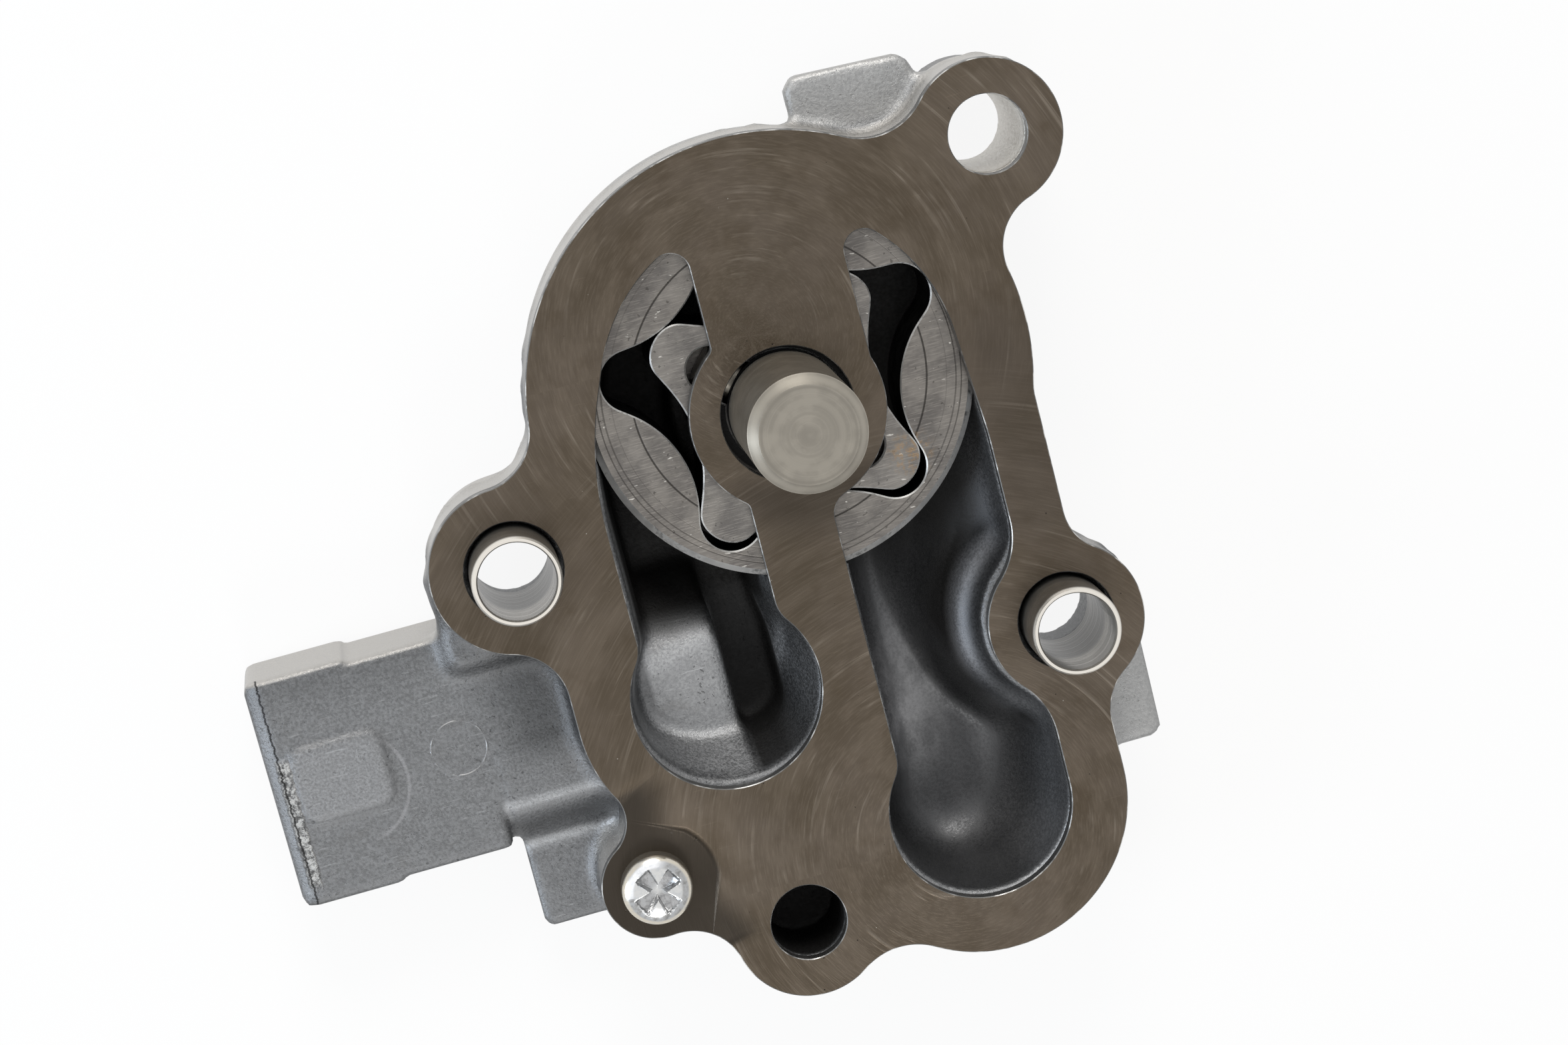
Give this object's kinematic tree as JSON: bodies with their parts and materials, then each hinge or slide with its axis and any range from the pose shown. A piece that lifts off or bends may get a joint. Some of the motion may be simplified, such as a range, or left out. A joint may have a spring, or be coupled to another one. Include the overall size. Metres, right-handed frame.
{
  "type": "engine oil pump",
  "caption": "Gerotor engine oil pump with a die-cast body, ground steel cover plate, open rotor windows, hollow dowels and a built-in pressure relief valve.",
  "frame": {"origin": "on the shaft's axis at the front face of the cover plate", "axes": "+Z out of the cover plate along the shaft, +Y from the shaft's axis towards the outer rotor's axis"},
  "size_m": [0.1033, 0.101, 0.0378],
  "materials": {
    "casting": "as cast, satin",
    "plate": "ground",
    "zinc": "zinc plated",
    "sleeve": "turned",
    "sintered": "ground",
    "shaft": "ground",
    "spring": "drawn wire"
  },
  "bodies": {
    "housing": {"pump_body": "casting", "cover_plate": "plate", "cover_screw": "zinc", "dowel_left": "sleeve", "dowel_right": "sleeve", "relief_spring": "spring", "relief_spring_seat": "zinc", "relief_snap_ring": "spring"},
    "shaft": {"drive_shaft": "shaft", "drive_pin": "shaft", "inner_rotor": "sintered"},
    "ring": {"outer_rotor": "sintered"},
    "plunger": {"relief_plunger": "shaft"}
  },
  "joints": [
    {"name": "shaft_spin", "type": "hinge", "parent": "housing", "child": "shaft", "pos_m": [0, 0, 0], "axis": [0, 0, 1], "continuous": true},
    {"name": "outer_rotor_spin", "type": "hinge", "parent": "housing", "child": "ring", "pos_m": [0, 0.00302, 0], "axis": [0, 0, 1], "continuous": true},
    {"name": "relief_slide", "type": "slide", "parent": "housing", "child": "plunger", "axis": [-1, 0, 0], "range_m": [0, 0.004], "stiffness_N_per_m": 4000, "springref_m": -0.004, "deforming": ["relief_spring"]}
  ],
  "couplings": [
    {"joint": "outer_rotor_spin", "follows": "shaft_spin", "ratio": 0.8}
  ]
}
